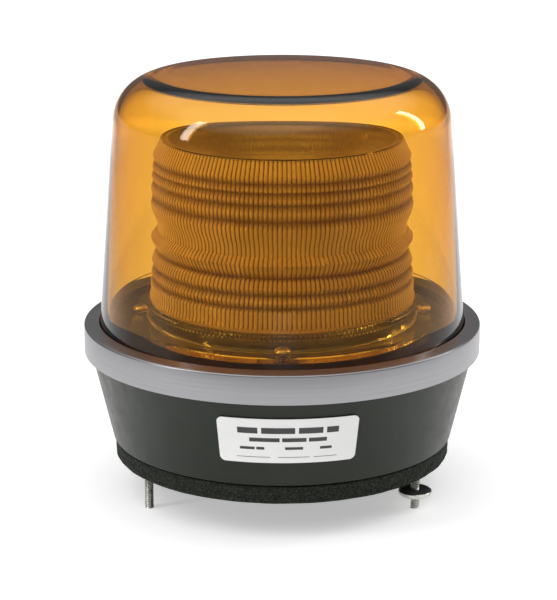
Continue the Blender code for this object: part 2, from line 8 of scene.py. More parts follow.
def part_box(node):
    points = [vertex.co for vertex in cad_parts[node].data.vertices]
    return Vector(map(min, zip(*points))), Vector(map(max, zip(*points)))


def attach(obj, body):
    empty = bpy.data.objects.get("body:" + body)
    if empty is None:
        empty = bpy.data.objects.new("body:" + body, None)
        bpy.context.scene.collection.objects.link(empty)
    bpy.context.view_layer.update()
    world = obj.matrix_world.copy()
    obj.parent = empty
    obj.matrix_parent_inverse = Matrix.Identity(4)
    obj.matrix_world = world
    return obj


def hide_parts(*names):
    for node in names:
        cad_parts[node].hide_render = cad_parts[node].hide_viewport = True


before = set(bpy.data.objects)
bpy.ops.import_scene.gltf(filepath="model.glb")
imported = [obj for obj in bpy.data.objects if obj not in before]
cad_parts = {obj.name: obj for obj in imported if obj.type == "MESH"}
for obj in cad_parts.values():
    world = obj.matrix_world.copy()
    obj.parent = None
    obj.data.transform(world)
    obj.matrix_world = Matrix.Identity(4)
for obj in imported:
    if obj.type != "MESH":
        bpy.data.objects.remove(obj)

MM = 0.001
TAU = 2 * math.pi
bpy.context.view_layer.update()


def span(node):
    """A CAD node's lowest and highest corner."""
    low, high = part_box(node)
    return low / MM, high / MM


# Sizes read from the frame
ring_low, ring_high = span("clamp_ring")
dome_low, dome_high = span("outer_dome")
lens_low, lens_high = span("inner_lens")
base_low, base_high = span("base_housing")
pad_low, pad_high = span("mounting_pad")
plate_low, plate_high = span("mounting_plate")
stud_low, stud_high = span("mounting_stud_rear")
RING_R = ring_high.x
RING_EDGE = ring_high.z - 0.7  # the ring's top outer edge, from which the dome's shape is measured
TABLE_Z = stud_low.z
STUD_CIRCLE_R = (stud_low.y + stud_high.y) / 2
STUD_R = 2.41
STUD_DEGREES = {"rear": 90, "left": 210, "right": 330}
THREAD_PITCH = 25.4 / 24
THREAD_CORE_R = STUD_R - 0.9  # at the thread's end
BASE_FOOT_R = 90.4
SHOULDER_R = 101.5
SHOULDER_Z = RING_EDGE - 15.0
SCREW_HOLE_R = 2.7
SHARP_DEGREES = 32  # a mesh is shaded smooth across any flatter edge


# Meshes
def arc(mid_r, mid_z, radius, start, end, steps):
    """(r, z) points on a round stretch, between two angles in degrees."""
    points = []
    for k in range(steps + 1):
        angle = math.radians(start + (end - start) * k / steps)
        points.append((mid_r + radius * math.cos(angle), mid_z + radius * math.sin(angle)))
    return points


def turned(outline, sides, at=(0, 0), shift=None, between=None, painted_groove_shade=None):
    """A solid turned about a vertical axis. shift(k, angle, r, z) moves a point; between leaves it split.

    The last argument, if given, gives a value for each point, stored with it, from which a material paints
    shade into the valleys between ribs.
    """
    bm = bmesh.new()
    # A layer on each point for the value that drives painted shade.
    depth = bm.verts.layers.float.new("painted_groove_shade") if painted_groove_shade else None
    if between:
        first, last = between
        angles = [first + (last - first) * k / sides for k in range(sides + 1)]
    else:
        angles = [TAU * k / sides for k in range(sides)]
    rings = []
    for k, (radius, height) in enumerate(outline):
        if radius < 1e-6:
            rings.append([bm.verts.new((at[0], at[1], height))] * len(angles))
            continue
        ring = []
        for angle in angles:
            r, z = shift(k, angle, radius, height) if shift else (radius, height)
            ring.append(bm.verts.new((at[0] + r * math.cos(angle), at[1] + r * math.sin(angle), z)))
            if painted_groove_shade:
                ring[-1][depth] = painted_groove_shade(k, angle)
        rings.append(ring)
    spans = len(angles) - 1 if between else len(angles)
    on_axis = outline[0][0] < 1e-6 and outline[-1][0] < 1e-6
    pairs = list(zip(rings, rings[1:])) + ([] if on_axis else [(rings[-1], rings[0])])
    for low, high in pairs:
        for k in range(spans):
            nxt = (k + 1) % len(angles)
            corners = list(dict.fromkeys((low[k], low[nxt], high[nxt], high[k])))
            if len(corners) > 2:
                bm.faces.new(corners)
    if between:
        bm.faces.new([ring[0] for ring in rings])
        bm.faces.new([ring[-1] for ring in rings])
    return bm


def piece(name, bm, body, mat, nodes=(), sharp=SHARP_DEGREES):
    """An object of a mesh in millimetres, which rides on a body and stands for CAD nodes."""
    bmesh.ops.recalc_face_normals(bm, faces=bm.faces)
    bmesh.ops.scale(bm, vec=(MM, MM, MM), verts=bm.verts)
    mesh = bpy.data.meshes.new(name)
    bm.to_mesh(mesh)
    bm.free()
    mesh.shade_smooth()
    mesh.set_sharp_from_angle(angle=math.radians(sharp))
    mesh.materials.append(mat)
    obj = bpy.data.objects.new(name, mesh)
    bpy.context.scene.collection.objects.link(obj)
    if body:
        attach(obj, body)
        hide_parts(*nodes)
    return obj


def box_mesh(low, high, bevel=0.0):
    """A box between two corners, with rounded edges if bevel is given."""
    bm = bmesh.new()
    bmesh.ops.create_cube(bm, size=1.0)
    for vert in bm.verts:
        vert.co = Vector([lo + (v + 0.5) * (hi - lo) for v, lo, hi in zip(vert.co, low, high)])
    if bevel:
        bmesh.ops.bevel(bm, geom=bm.edges[:], offset=bevel, segments=2, profile=0.5, affect="EDGES")
    return bm


def joined(parts):
    """One bmesh of several."""
    whole = bmesh.new()
    for part in parts:
        mesh = bpy.data.meshes.new("part")
        part.to_mesh(mesh)
        part.free()
        whole.from_mesh(mesh)
        bpy.data.meshes.remove(mesh)
    return whole


def lay_along_x(bm, y, z):
    """Turn a mesh made about the Z axis so that its axis runs along X, through (y, z)."""
    turn = Matrix.Translation((0, y, z)) @ Matrix.Rotation(math.pi / 2, 4, "Y")
    bmesh.ops.transform(bm, matrix=turn, verts=bm.verts)
    return bm


def on_circle(radius, degrees):
    """The (x, y) of a point on a circle about the beacon's axis."""
    angle = math.radians(degrees)
    return radius * math.cos(angle), radius * math.sin(angle)


def cut(obj, cutter_bm):
    """Cut a mesh, in millimetres, out of a piece."""
    bmesh.ops.recalc_face_normals(cutter_bm, faces=cutter_bm.faces)
    bmesh.ops.scale(cutter_bm, vec=(MM, MM, MM), verts=cutter_bm.verts)
    mesh = bpy.data.meshes.new("cutter")
    cutter_bm.to_mesh(mesh)
    cutter_bm.free()
    cutter = bpy.data.objects.new("cutter", mesh)
    bpy.context.scene.collection.objects.link(cutter)
    modifier = obj.modifiers.new("cut", "BOOLEAN")
    modifier.object = cutter
    modifier.solver = "EXACT"
    bpy.context.view_layer.update()
    graph = bpy.context.evaluated_depsgraph_get()
    result = bpy.data.meshes.new_from_object(obj.evaluated_get(graph))
    obj.modifiers.clear()
    obj.data = result
    bpy.data.objects.remove(cutter)


def sharpen(obj):
    """Mark a piece's sharp edges again after a cut."""
    obj.data.set_sharp_from_angle(angle=math.radians(SHARP_DEGREES))


def wire_entry():
    """The (x, y) of the cord's way in, at the middle of the grommet."""
    low, high = span("cable_grommet")
    return 0, (low.y + high.y) / 2


def thread(radius, depth, pitch, low, high, per_turn=8):
    """(outline, shift) of a threaded stretch, for turned()."""
    steps = int((high - low) / pitch * per_turn)
    heights = [low + (high - low) * k / steps for k in range(steps + 1)]
    return [(radius, height) for height in heights], thread_shift(depth, pitch, low, high)


def thread_shift(depth, pitch, low, high):
    """The shift, for turned(), that presses a screw thread into a stem between two heights."""
    def shift(_k, angle, radius, height):
        if not low <= height <= high or radius < 1.0:
            return radius, height
        turn = (height / pitch - angle / TAU) % 1.0
        fade = min(1.0, (height - low) / pitch + 0.15, (high - height) / pitch)
        return radius - depth * fade * abs(2 * turn - 1) ** 0.8, height
    return shift


# Materials
RIBBED = 0.2  # the shade value of the lens's ribbed faces away from any valley: clouded, with no painted shade
RIB_CLARITY = 0.55  # how much of the light a ribbed face lets through unclouded
SMUDGE_ROUGHNESS = 0.02


class Nodes:
    """A short way to write a material's nodes."""

    def __init__(self, name):
        self.mat = bpy.data.materials.new(name)
        self.mat.use_nodes = True
        self.tree = self.mat.node_tree
        self.shader = self.tree.nodes["Principled BSDF"]
        self.out = self.tree.nodes["Material Output"]
        self.coords = self.add("ShaderNodeTexCoord").outputs["Object"]

    def add(self, kind, **settings):
        node = self.tree.nodes.new(kind)
        for key, value in settings.items():
            setattr(node, key, value)
        return node

    def link(self, source, target):
        self.tree.links.new(source, target)

    def set(self, **values):
        for key, value in values.items():
            self.shader.inputs[key.replace("_", " ")].default_value = value

    def stretched(self, scale):
        mapping = self.add("ShaderNodeMapping")
        mapping.inputs["Scale"].default_value = scale
        self.link(self.coords, mapping.inputs["Vector"])
        return mapping.outputs["Vector"]

    def noise(self, scale, detail=4.0, roughness=0.6, vector=None):
        node = self.add("ShaderNodeTexNoise")
        node.inputs["Scale"].default_value = scale
        node.inputs["Detail"].default_value = detail
        node.inputs["Roughness"].default_value = roughness
        self.link(vector or self.coords, node.inputs["Vector"])
        return node.outputs["Fac"]

    def ramp(self, value, low, high, start=0.3, end=0.7):
        """A colour or a number between low and high as value goes from start to end."""
        if isinstance(low, tuple):
            node = self.add("ShaderNodeValToRGB")
            node.color_ramp.elements[0].position = start
            node.color_ramp.elements[1].position = end
            node.color_ramp.elements[0].color = (*low, 1.0)
            node.color_ramp.elements[1].color = (*high, 1.0)
            self.link(value, node.inputs["Fac"])
            return node.outputs["Color"]
        node = self.add("ShaderNodeMapRange")
        node.inputs["From Min"].default_value = start
        node.inputs["From Max"].default_value = end
        node.inputs["To Min"].default_value = low
        node.inputs["To Max"].default_value = high
        self.link(value, node.inputs["Value"])
        return node.outputs["Result"]

    def colour(self, value, low, high, start=0.3, end=0.7):
        self.link(self.ramp(value, low, high, start, end), self.shader.inputs["Base Color"])

    def rough(self, value, low, high, start=0.3, end=0.7):
        self.link(self.ramp(value, low, high, start, end), self.shader.inputs["Roughness"])

    def bump(self, height, strength, distance):
        node = self.add("ShaderNodeBump")
        node.inputs["Strength"].default_value = strength
        node.inputs["Distance"].default_value = distance
        self.link(height, node.inputs["Height"])
        self.link(node.outputs["Normal"], self.shader.inputs["Normal"])


def plastic(name, dark, light, rough, grain=900.0, bump=0.15, spec=0.5):
    """Moulded plastic or paint with a fine grain and a slow change of tone."""
    n = Nodes(name)
    n.colour(n.noise(35.0), dark, light)
    n.rough(n.noise(120.0), *rough)
    n.bump(n.noise(grain, 2.0), bump, 0.0002)
    n.set(Specular_IOR_Level=spec)
    return n.mat


def metal(name, dark, light, rough, scale=(1, 1, 1), grain=400.0, bump=0.1):
    """Metal whose grain is stretched by scale."""
    n = Nodes(name)
    lines = n.noise(grain, 5.0, 0.65, n.stretched(scale))
    n.colour(lines, dark, light)
    n.rough(lines, *rough)
    n.bump(lines, bump, 0.0001)
    n.set(Metallic=1.0)
    return n.mat


def clear_glass(name, colour, ior, shadow, density=0.0, absorb=(1, 1, 1)):
    """The nodes of glass or clear plastic: it bends light, takes colour with depth and lets lamps through."""
    n = Nodes(name)
    n.set(Base_Color=(*colour, 1.0), IOR=ior, Transmission_Weight=1.0)
    n.rough(n.noise(60.0, 3.0), 0.0, SMUDGE_ROUGHNESS, 0.45, 0.75)
    path = n.add("ShaderNodeLightPath")
    through = n.add("ShaderNodeBsdfTransparent")
    through.inputs["Color"].default_value = (*shadow, 1.0)
    mix = n.add("ShaderNodeMixShader")
    n.link(path.outputs["Is Shadow Ray"], mix.inputs["Fac"])
    n.link(n.shader.outputs["BSDF"], mix.inputs[1])
    n.link(through.outputs["BSDF"], mix.inputs[2])
    n.link(mix.outputs["Shader"], n.out.inputs["Surface"])
    if density:
        volume = n.add("ShaderNodeVolumeAbsorption")
        volume.inputs["Color"].default_value = (*absorb, 1.0)
        volume.inputs["Density"].default_value = density
        n.link(volume.outputs["Volume"], n.out.inputs["Volume"])
    return n


def lens_material():
    """Clear plastic, clouded by its ribs, with painted shade down in the rib valleys and along the prisms'
    feet.
    """
    n = clear_glass("clear_lens", (1.0, 1.0, 1.0), 1.50, (0.88, 0.84, 0.78))
    groove_shade_value = n.add("ShaderNodeAttribute", attribute_name="painted_groove_shade").outputs["Fac"]
    # Painted shade: the stored value tints the rib valleys and the prisms' feet dark brown.
    n.colour(groove_shade_value, (1.0, 0.98, 0.92), (0.10, 0.04, 0.02), 0.3, 0.95)
    n.link(n.ramp(groove_shade_value, 1.0, RIB_CLARITY, 0.05, RIBBED), n.shader.inputs["Transmission Weight"])
    return n.mat


def foam_material():
    """Closed-cell foam: open pores and pale specks along its cut edge."""
    n = Nodes("foam")
    cells = n.add("ShaderNodeTexVoronoi")
    cells.inputs["Scale"].default_value = 700.0
    n.link(n.coords, cells.inputs["Vector"])
    n.colour(n.noise(900.0, 6.0, 0.75), (0.005, 0.0075, 0.004), (0.055, 0.065, 0.048), 0.46, 0.76)
    n.rough(cells.outputs["Distance"], 0.8, 1.0)
    n.bump(cells.outputs["Distance"], 0.7, 0.0004)
    n.set(Specular_IOR_Level=0.3)
    return n.mat


AMBER = clear_glass("amber", (1.0, 1.0, 1.0), 1.49, (0.97, 0.80, 0.44), 600.0, (0.955, 0.767, 0.12)).mat
CLEAR = lens_material()
GLASS = clear_glass("glass", (0.96, 0.98, 0.98), 1.47, (0.9, 0.9, 0.9)).mat

SATIN = metal("satin_aluminium", (0.31, 0.31, 0.325), (0.36, 0.36, 0.375), (0.30, 0.38),
              (0.06, 0.06, 3.0), 260.0, 0.05)
ZINC = metal("zinc_steel", (0.52, 0.52, 0.48), (0.74, 0.73, 0.68), (0.22, 0.38))
FINNED = metal("extruded_aluminium", (0.50, 0.50, 0.51), (0.64, 0.64, 0.65), (0.30, 0.45), (0.1, 3, 3))
BRASS = metal("brass", (0.55, 0.38, 0.12), (0.78, 0.58, 0.24), (0.2, 0.4))
COPPER = metal("enamelled_copper", (0.48, 0.16, 0.06), (0.66, 0.28, 0.12), (0.25, 0.4), (1, 1, 40), 60.0, 0.6)

BASE_BLACK = plastic("base_black", (0.009, 0.0135, 0.007), (0.013, 0.018, 0.010), (0.32, 0.42),
                     700.0, 0.12, spec=0.26)
GLOSS_BLACK = plastic("gloss_black", (0.003, 0.003, 0.003), (0.007, 0.006, 0.006), (0.30, 0.42),
                      300.0, 0.02, spec=0.18)
MOULDED_BLACK = plastic("moulded_black", (0.012, 0.012, 0.012), (0.03, 0.03, 0.03), (0.35, 0.5))
PHENOLIC = plastic("brown_phenolic", (0.16, 0.07, 0.03), (0.30, 0.15, 0.07), (0.35, 0.5))
RUBBER = plastic("rubber", (0.010, 0.010, 0.010), (0.028, 0.028, 0.027), (0.65, 0.85), 1200.0, 0.3)
FOAM = foam_material()
LABEL_FILM = plastic("label_film", (0.84, 0.84, 0.82), (0.90, 0.90, 0.89), (0.30, 0.42), 1500.0, 0.03)
INK = plastic("ink", (0.02, 0.02, 0.02), (0.05, 0.05, 0.05), (0.4, 0.5))
BOARD = plastic("board_green", (0.02, 0.10, 0.035), (0.045, 0.17, 0.06), (0.3, 0.45), 500.0, 0.2)
FERRITE = plastic("ferrite", (0.02, 0.02, 0.022), (0.06, 0.06, 0.065), (0.5, 0.7), 600.0, 0.4)
CERAMIC = plastic("ceramic", (0.62, 0.60, 0.54), (0.80, 0.78, 0.72), (0.4, 0.6), 800.0, 0.2)
BLUE_SLEEVE = plastic("blue_sleeve", (0.012, 0.03, 0.12), (0.03, 0.07, 0.25), (0.25, 0.4))
RED_LEAD = plastic("red_lead", (0.32, 0.02, 0.015), (0.5, 0.04, 0.03), (0.35, 0.5))
BLACK_LEAD = plastic("black_lead", (0.012, 0.012, 0.012), (0.03, 0.03, 0.03), (0.35, 0.5))
WHITE_LEAD = plastic("white_lead", (0.62, 0.62, 0.58), (0.78, 0.78, 0.75), (0.35, 0.5))


# Outer dome
DOME_RISE = dome_high.z - RING_EDGE
DOME_SIDE_R = 96.6
DOME_TAPER = 0.08
DOME_WALL = 3.0
DOME_FILLET = 23.8
CROWN_DROP = 2.5 / 80.0**2
BAND_RISE = 7.5
BAND_IN_R = 92.2
DOME_CORNER_R = 71.0  # where the ceiling meets the fillet inside
DOME_FLANGE_THICK = 2.2
CROWN_STEPS = 12


def dome_skin(inset, steps=24, corner_r=None):
    """(r, z) points from the top of the side to the crown. With corner_r the fillet stops there."""
    lean = math.atan(DOME_TAPER)
    tip = DOME_RISE - inset
    fillet = DOME_FILLET - inset
    side = DOME_SIDE_R - inset / math.cos(lean)
    rim = 65.0
    for _ in range(20):
        slope = math.atan(2 * CROWN_DROP * rim)
        mid_z = tip - CROWN_DROP * rim**2 - fillet * math.cos(slope)
        mid_r = side - DOME_TAPER * (mid_z + fillet * math.sin(lean)) - fillet * math.cos(lean)
        rim = mid_r + fillet * math.sin(slope)
    last = math.degrees(math.acos((corner_r - mid_r) / fillet)) if corner_r else 90 - math.degrees(slope)
    points = arc(mid_r, RING_EDGE + mid_z, fillet, math.degrees(lean), last, steps)
    edge_r, edge_z = points[-1]
    for k in range(1, CROWN_STEPS + 1):
        radius = edge_r * (1 - k / CROWN_STEPS)
        points.append((radius, edge_z + CROWN_DROP * (edge_r**2 - radius**2)))
    return points


def outer_dome():
    """The amber dome, with its flange and the thicker band at its foot."""
    flange_r = dome_high.x
    flange_top = dome_low.z + DOME_FLANGE_THICK
    band_top = RING_EDGE + BAND_RISE
    band_r = DOME_SIDE_R - DOME_TAPER * BAND_RISE - DOME_WALL
    foot = [(BAND_IN_R, dome_low.z), (flange_r, dome_low.z), (flange_r, flange_top),
            *arc(DOME_SIDE_R + 0.4, flange_top + 0.4, 0.4, -90, -180, 4)]
    outside = dome_skin(0)
    inside = dome_skin(DOME_WALL, corner_r=DOME_CORNER_R)
    band_edge = [(band_r + 0.02, band_top + 0.3), (band_r - 0.4, band_top)]
    bm = turned([*reversed(inside), *band_edge, *foot, *outside], 240)
    piece("dome_shell", bm, "dome", AMBER, ["outer_dome"], 50)


# Inner lens
RIBS = 180
PER_RIB = 8
RIB_DEPTH = 0.6  # outside
FLUTE_DEPTH = 0.7  # inside
LENS_SKIRT_R = 71.4
LENS_SKIRT_RISE = 11.0
LENS_CEILING = 2.4
LENS_IN_R = 67.0
FLANGE_TOP = RING_EDGE + 2.0
LENS_FLANGE_R = lens_high.y
NOTCH_X = lens_high.x
NOTCH_HALF = 28.0


def lens_outline():
    """The lens's outside from its rim up. Each corner is the edge of a prism."""
    corners = [
        (70.7, 13.2), (70.0, 15.4), (70.0, 20.9), (68.5, 23.0), (69.5, 26.3), (67.4, 29.6), (69.1, 32.8),
        (67.7, 36.4), (65.3, 38.1), (67.8, 42.0), (69.3, 45.4), (66.9, 48.5), (65.6, 49.2), (65.6, 52.0),
        (66.2, 54.9), (68.3, 59.8), (69.1, 63.7), (68.0, 67.8), (68.7, 72.1), (67.5, 76.1), (68.3, 78.5),
        (67.1, 82.0), (67.8, 83.3), (66.8, 86.7), (67.4, 89.7), (63.4, 97.9),
    ]
    return [(radius, RING_EDGE + rise) for radius, rise in corners]


def inner_lens():
    """The clear lens: prisms round its outside, crossed by fine upright ribs."""
    top = lens_high.z
    inside = [(60.4, 96.0), (62.0, 94.0), (63.4, 90.0), (64.2, 84.0), (64.4, 75.0), (64.4, 60.0),
              (62.4, 52.0), (62.4, 46.0), (64.4, 38.0), (65.2, 30.0), (66.0, 20.0), (66.6, 12.0)]
    outline = [(radius, top - LENS_CEILING) for radius in (0, 20.0, 40.0, 58.0)]
    fluted_first = len(outline)
    outline += [(radius, RING_EDGE + rise) for radius, rise in inside]
    outline += [(LENS_IN_R, RING_EDGE + 6.5), (LENS_IN_R, lens_low.z)]
    flange = [(LENS_FLANGE_R - 0.3, lens_low.z), (LENS_FLANGE_R, lens_low.z + 0.3),
              (LENS_FLANGE_R, FLANGE_TOP - 0.5), (LENS_FLANGE_R - 0.5, FLANGE_TOP)]
    flange_first = len(outline)
    outline += flange
    outline += [(LENS_SKIRT_R + 1.0, FLANGE_TOP), (LENS_SKIRT_R + 0.1, FLANGE_TOP + 0.9),
                (LENS_SKIRT_R - 0.3, RING_EDGE + 7.2)]
    ribbed_first = len(outline)
    skirt_points = 3
    outline += [(LENS_SKIRT_R, RING_EDGE + 8.0), (LENS_SKIRT_R, RING_EDGE + LENS_SKIRT_RISE - 0.9),
                (LENS_SKIRT_R - 0.9, RING_EDGE + LENS_SKIRT_RISE)]
    outline += lens_outline()
    ribbed_last = len(outline)
    outline += [(62.7, top - 0.5), (62.3, top), (40.0, top), (20.0, top), (0, top)]

    def across_rib(angle):
        return (angle * RIBS / TAU) % 1.0 * 2 - 1

    def shift(k, angle, radius, height):
        across = across_rib(angle)
        if ribbed_first <= k < ribbed_last:
            return radius - RIB_DEPTH * across**2, height
        if fluted_first <= k < fluted_first + len(inside):
            return radius - FLUTE_DEPTH * math.sqrt(1 - 0.96 * across**2), height
        if flange_first <= k < flange_first + len(flange) and abs(radius * math.sin(angle)) < NOTCH_HALF:
            return min(radius, NOTCH_X / abs(math.cos(angle))), height
        return radius, height

    # Painted shade, stored per point: 1.0 down the middle of each rib valley, 0.7 beside it and 0.9 along
    # each prism's foot on the outside. The inside flutes are only clouded, and the rest is clear.
    def painted_groove_shade(k, angle):
        across = abs(across_rib(angle))
        valley_shade = 1.0 if across > 0.99 else 0.7 if across > 0.7 else RIBBED
        if fluted_first <= k < fluted_first + len(inside):
            return RIBBED
        if ribbed_first + skirt_points <= k < ribbed_last:
            # A row that dips below both neighbours is a prism's foot, which gets painted shade.
            foot = outline[k][0] < min(outline[k - 1][0], outline[k + 1][0])
            return max(valley_shade, 0.9 if foot else RIBBED)
        return 0.0

    bm = turned(outline, RIBS * PER_RIB, shift=shift, painted_groove_shade=painted_groove_shade)
    piece("fresnel_lens", bm, "base", CLEAR, ["inner_lens"], 16)


def pan_screw(name, body, node, head_r, head_h, shank_r):
    """A pan-head screw in place of a CAD one that stands upright, with a cross recess."""
    low, high = span(node)
    x, y = (low.x + high.x) / 2, (low.y + high.y) / 2
    seat = high.z - head_h
    head = [(head_r - 0.15, seat), (head_r, seat + 0.25), (head_r, seat + head_h * 0.35),
            *arc(head_r - head_h * 0.6, seat + head_h * 0.4, head_h * 0.6, 5, 88, 6), (0, high.z)]
    stem_outline, shift = thread(shank_r, 0.3, 0.7, low.z + 0.6, seat - 0.5)
    outline = [(0, low.z), (shank_r * 0.6, low.z), *stem_outline, (shank_r, seat), *head]
    bm = turned(outline, 32, (x, y), shift)
    obj = piece(name, bm, body, ZINC, [node])
    for degrees in (30, 120):
        arm = box_mesh((-head_r * 0.55, -0.35, -1.4), (head_r * 0.55, 0.35, 1.0))
        place = Matrix.Translation((x, y, high.z)) @ Matrix.Rotation(math.radians(degrees), 4, "Z")
        bmesh.ops.transform(arm, verts=arm.verts, matrix=place)
        cut(obj, arm)
    sharpen(obj)


# Clamp ring
def clamp_ring():
    """The split ring, with a rounded top edge.

    Known fault: the lugs overlap the band, and the cut of the screw's hole loses them. It leaves the
    cutting bar in their place.
    """
    top, low, r = RING_EDGE, ring_low.z, RING_R
    outline = [(97.0, top - 1.5), (103.2, top - 1.5), (103.2, low), (r - 0.45, low),
               *arc(r - 0.4, low + 0.4, 0.4, -80, 0, 3), *arc(r - 1.0, top - 0.95, 1.0, 0, 80, 6),
               (r - 1.8, top + 0.12), (97.5, top + 0.68), *arc(97.3, top + 0.4, 0.3, 75, 180, 4)]
    split_half = 2.5
    half = math.asin(split_half / r)
    band = turned(outline, 360, between=(math.pi / 2 + half, 5 * math.pi / 2 - half))
    middle = (low + top) / 2
    lug_x, lug_half, lug_rise = 6.1, 2.9, 6.3
    lugs = [box_mesh((side * lug_x - lug_half, r - 1.3, middle - lug_rise),
                     (side * lug_x + lug_half, ring_high.y, middle + lug_rise), 0.8)
            for side in (-1, 1)]
    obj = piece("clamp_band", joined([band, *lugs]), "ring", SATIN, ["clamp_ring"])
    screw_y = 110.5
    bar = turned([(0, -20), (SCREW_HOLE_R, -20), (SCREW_HOLE_R, 20), (0, 20)], 32)
    cut(obj, lay_along_x(bar, screw_y, middle))
    sharpen(obj)


# Base, pad, studs
def cut_holes(obj, holes, low, high):
    """Cut round upright holes, each given as (x, y, radius)."""
    for x, y, radius in holes:
        cut(obj, turned([(0, low), (radius, low), (radius, high), (0, high)], 40, (x, y)))


def base_housing():
    """The hollow tapered base, with holes for the studs and the cord."""
    foot_r, foot_z = BASE_FOOT_R, base_low.z
    shoulder_r, shoulder_z = SHOULDER_R, SHOULDER_Z
    lip_r, lip_z = base_high.x, RING_EDGE - 6.0
    floor_z = foot_z + 3.5
    outline = [(0, foot_z), (foot_r - 1.4, foot_z), *arc(foot_r - 1.3, foot_z + 1.5, 1.5, -80, -10, 5),
               (shoulder_r, shoulder_z), (lip_r, shoulder_z + 1.6), (lip_r, lip_z), (91.0, lip_z),
               (91.0, base_high.z), (86.5, base_high.z), (86.5, lip_z - 4), (98.0, shoulder_z - 1),
               (87.9, floor_z), (0, floor_z)]
    obj = piece("base_drum", turned(outline, 192), "base", BASE_BLACK, ["base_housing"])
    holes = [(*on_circle(STUD_CIRCLE_R, degrees), SCREW_HOLE_R) for degrees in STUD_DEGREES.values()]
    holes.append((*wire_entry(), 11.0))
    cut_holes(obj, holes, foot_z - 1, floor_z + 1)
    sharpen(obj)


def mounting_pad():
    """The foam pad, whose cut edge is a little uneven."""
    radius, thick = pad_high.x, pad_high.z
    rings = [(radius * k / 8, 0.0) for k in range(8)]
    rings += [(radius - 0.9, 0.0), *arc(radius - 1.2, 1.0, 0.9, -80, -10, 3)]
    rings += [(radius - 0.3, 1.0 + (thick - 2.0) * k / 8) for k in range(9)]
    rings += [*arc(radius - 1.2, thick - 1.0, 0.9, 10, 80, 3), (radius - 2.0, thick), (0, thick)]

    def shift(_k, angle, r, z):
        if r < radius - 3:
            return r, z
        where = Vector((math.cos(angle) * 9, math.sin(angle) * 9, z * 0.35))
        fine = noise.noise(where * 9) * 0.16
        return r - 0.45 - 0.38 * noise.noise(where) - abs(fine), z

    obj = piece("foam_pad", turned(rings, 720, shift=shift), "base", FOAM, ["mounting_pad"], 60)
    holes = [(*on_circle(STUD_CIRCLE_R, degrees), 3.2) for degrees in STUD_DEGREES.values()]
    holes.append((*wire_entry(), 12.0))
    cut_holes(obj, holes, -1, thick + 1)


def mounting_studs():
    """Three threaded studs, with hexagon heads inside the base."""
    for name in ("left", "right", "rear"):
        middle = on_circle(STUD_CIRCLE_R, STUD_DEGREES[name])
        node = "mounting_stud_" + name
        low, high = span(node)
        head_z = high.z - 3.2
        stem, shift = thread(STUD_R, 0.62, THREAD_PITCH, low.z, base_low.z - 1)
        outline = [(0, low.z), (THREAD_CORE_R, low.z), *stem, (STUD_R, base_low.z), (STUD_R, head_z)]
        shank = turned([*outline, (0, head_z)], 28, middle, shift)
        head = turned([(0, head_z), (5.0, head_z), (5.4, head_z + 0.5), (5.4, high.z - 0.5), (5.0, high.z),
                       (0, high.z)], 6, middle)
        piece("threaded_stud_" + name, joined([shank, head]), "base", ZINC, [node])


def seal_washer():
    """The sealing washer on the right stud: a metal cup that holds a rubber face."""
    low = span("seal_washer_cup")[0].z
    middle = on_circle(STUD_CIRCLE_R, STUD_DEGREES["right"])
    cup = [(2.75, 0.0), (5.8, 0.0), (6.6, 0.3), (8.3, 1.4), (8.75, 1.9), (8.78, 3.3), (8.5, 3.6), (8.2, 3.4),
           (8.1, 2.2), (7.4, 1.6), (5.9, 0.85), (2.75, 0.8)]
    face = [(2.55, 1.1), (5.6, 1.1), (7.1, 2.0), (7.75, 2.6), (7.8, 3.7), *arc(7.2, 3.8, 0.6, 10, 90, 4),
            (3.1, 4.4), (2.55, 3.9)]
    cup_bm = turned([(radius, low + rise) for radius, rise in cup], 64, middle)
    face_bm = turned([(radius, low + rise) for radius, rise in face], 64, middle)
    piece("washer_cup", cup_bm, "seal_washer", ZINC, ["seal_washer_cup"])
    piece("washer_rubber", face_bm, "seal_washer", RUBBER, ["seal_washer_rubber"])


# Name label
LABEL_LEFT = -35.1
LABEL_TURN = 1.7
LABEL_CORNER = 3.0
LABEL_BACK = 0.2  # how far the label's back, its face and the print stand off the base
LABEL_FACE = 0.52
LABEL_PRINT = 0.56


def cone_radius(height):
    """The base's outside radius at a height."""
    foot_z = base_low.z
    return BASE_FOOT_R + (SHOULDER_R - BASE_FOOT_R) * (height - foot_z) / (SHOULDER_Z - foot_z)


def on_label(s, height, off):
    """A point at s along the label from its middle, at a height and a distance off the base."""
    low, high = span("name_label")
    middle = math.radians(-90 + LABEL_TURN)
    angle = middle + s / cone_radius((low.z + high.z) / 2)
    radius = cone_radius(height) + off
    return Vector((radius * math.cos(angle), radius * math.sin(angle), height))


def label_rows(s):
    """The label's lowest and highest height at s, with its round corners."""
    low, high = span("name_label")
    inset = max(0.0, abs(s) - (-LABEL_LEFT - LABEL_CORNER))
    drop = LABEL_CORNER - math.sqrt(max(0.0, LABEL_CORNER**2 - inset**2))
    return low.z + 0.05 + drop, high.z - 0.05 - drop


def name_label():
    """The label, bent round the base."""
    bm = bmesh.new()
    flat = [LABEL_LEFT + 0.02 + LABEL_CORNER * (1 - math.cos(math.radians(9 * k))) for k in range(11)]
    right = [-s for s in reversed(flat)]
    middle = [flat[-1] + (right[0] - flat[-1]) * k / 40 for k in range(1, 40)]
    columns = []
    for s in [*flat, *middle, *right]:
        low, high = label_rows(s)
        corners = ((low, LABEL_BACK), (low, LABEL_FACE), (high, LABEL_FACE), (high, LABEL_BACK))
        columns.append([bm.verts.new(on_label(s, z, off)) for z, off in corners])
    for a, b in zip(columns, columns[1:]):
        for k in range(4):
            bm.faces.new([a[k], a[(k + 1) % 4], b[(k + 1) % 4], b[k]])
    bm.faces.new(columns[0])
    bm.faces.new(columns[-1])
    piece("label_plate", bm, "base", LABEL_FILM, ["name_label"], 30)


